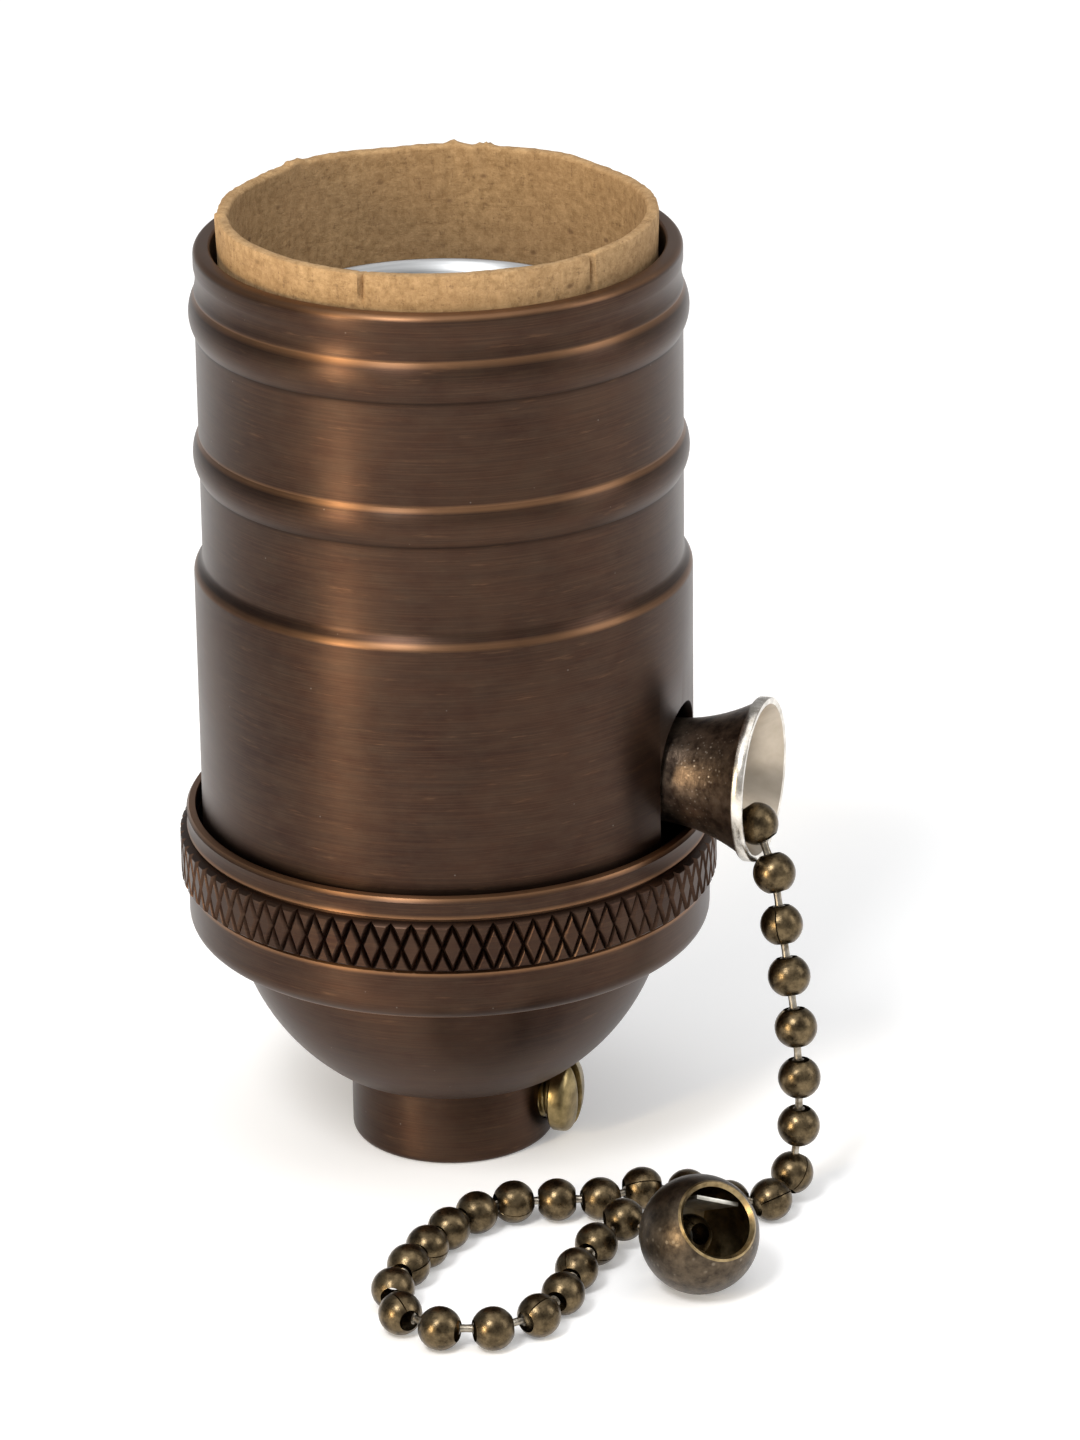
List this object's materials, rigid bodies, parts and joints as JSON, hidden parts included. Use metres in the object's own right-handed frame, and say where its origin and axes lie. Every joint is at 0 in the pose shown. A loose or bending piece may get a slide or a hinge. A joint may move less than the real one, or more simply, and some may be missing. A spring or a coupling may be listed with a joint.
{
  "type": "pull-chain lamp socket",
  "caption": "Turned metal lamp socket with a bell-mouthed chain spout, a ball chain with its connector, and a ratchet switch inside.",
  "frame": {"origin": "centre of the threaded neck's open end, which is also the face the socket stands on", "axes": "+Z along the socket's axis towards the lamp; +X along the chain spout"},
  "size_m": [0.0507, 0.0572, 0.0728],
  "materials": {
    "bronze": "dark rubbed bronze, brushed round the axis",
    "spout_bronze": "mottled dark bronze",
    "antique_brass": "antique brass, glossy on high spots",
    "liner_board": "raw kraft board",
    "fibre": "vulcanised fibre",
    "aluminium": "bright rolled sheet",
    "phenolic": "moulded phenolic",
    "steel": "zinc plated",
    "clip_steel": "bright sheet",
    "brass": "plain brass",
    "nickel": "nickel plate"
  },
  "bodies": {
    "socket": {"cap": "bronze", "cap_insulator": "fibre", "interior_base": "phenolic", "interior_top": "phenolic", "body_screws": "steel", "screw_shell": "aluminium", "shell_rivets": "aluminium", "contact_rivet": "brass", "hot_plate": "brass", "neutral_plate": "nickel", "fixed_contacts": "brass", "detent_spring": "brass", "spout": "spout_bronze", "return_spring": "steel"},
    "shell": {"outer_shell": "bronze", "shell_liner": "liner_board"},
    "pull_train": {"pull_slider": "brass", "pull_chain": "antique_brass", "chain_end_balls": "antique_brass", "connector_shell": "spout_bronze", "connector_clip": "clip_steel"},
    "pawl": {"pawl": "steel"},
    "rotor": {"ratchet_wheel": "steel", "rotor": "phenolic", "contact_bridge": "brass", "rotor_shaft": "steel"},
    "set_screw": {"set_screw": "antique_brass"},
    "hot_screw": {"hot_screw": "brass"},
    "neutral_screw": {"neutral_screw": "nickel"},
    "centre_contact": {"centre_contact": "brass"}
  },
  "joints": [
    {"name": "chain_pull", "type": "slide", "parent": "socket", "child": "pull_train", "axis": [1, 0, 0], "range_m": [0, 0.006], "stiffness_N_per_m": 200, "springref_m": -0.002, "deforming": ["return_spring"]},
    {"name": "ratchet_turn", "type": "hinge", "parent": "socket", "child": "rotor", "pos_m": [-0.0015, 0, 0.03], "axis": [0, 0, 1], "range_deg": [-92, 2]},
    {"name": "pawl_click", "type": "hinge", "parent": "pull_train", "child": "pawl", "pos_m": [-0.0064, 0.0057, 0.03], "axis": [0, 0, 1], "range_deg": [0, 12], "stiffness_Nm_per_rad": 0.002, "springref_deg": -5.73},
    {"name": "shell_lift", "type": "slide", "parent": "socket", "child": "shell", "axis": [0, 0, 1], "range_m": [0, 0.045]},
    {"name": "set_screw_turn", "type": "hinge", "parent": "socket", "child": "set_screw", "pos_m": [0.008, 0, 0.0035], "axis": [1, 0, 0], "range_deg": [0, 720]},
    {"name": "hot_screw_turn", "type": "hinge", "parent": "socket", "child": "hot_screw", "pos_m": [0.003, 0.0105, 0.0269], "axis": [0, 1, 0], "range_deg": [0, 720]},
    {"name": "neutral_screw_turn", "type": "hinge", "parent": "socket", "child": "neutral_screw", "pos_m": [0.003, -0.0105, 0.0269], "axis": [0, -1, 0], "range_deg": [0, 720]},
    {"name": "contact_press", "type": "hinge", "parent": "socket", "child": "centre_contact", "pos_m": [-0.0052, 0, 0.0458], "axis": [0, 1, 0], "range_deg": [0, 9], "stiffness_Nm_per_rad": 0.03, "springref_deg": -2.86}
  ],
  "couplings": [
    {"joint": "ratchet_turn", "follows": "chain_pull", "rad_per_m": -261.8}
  ]
}
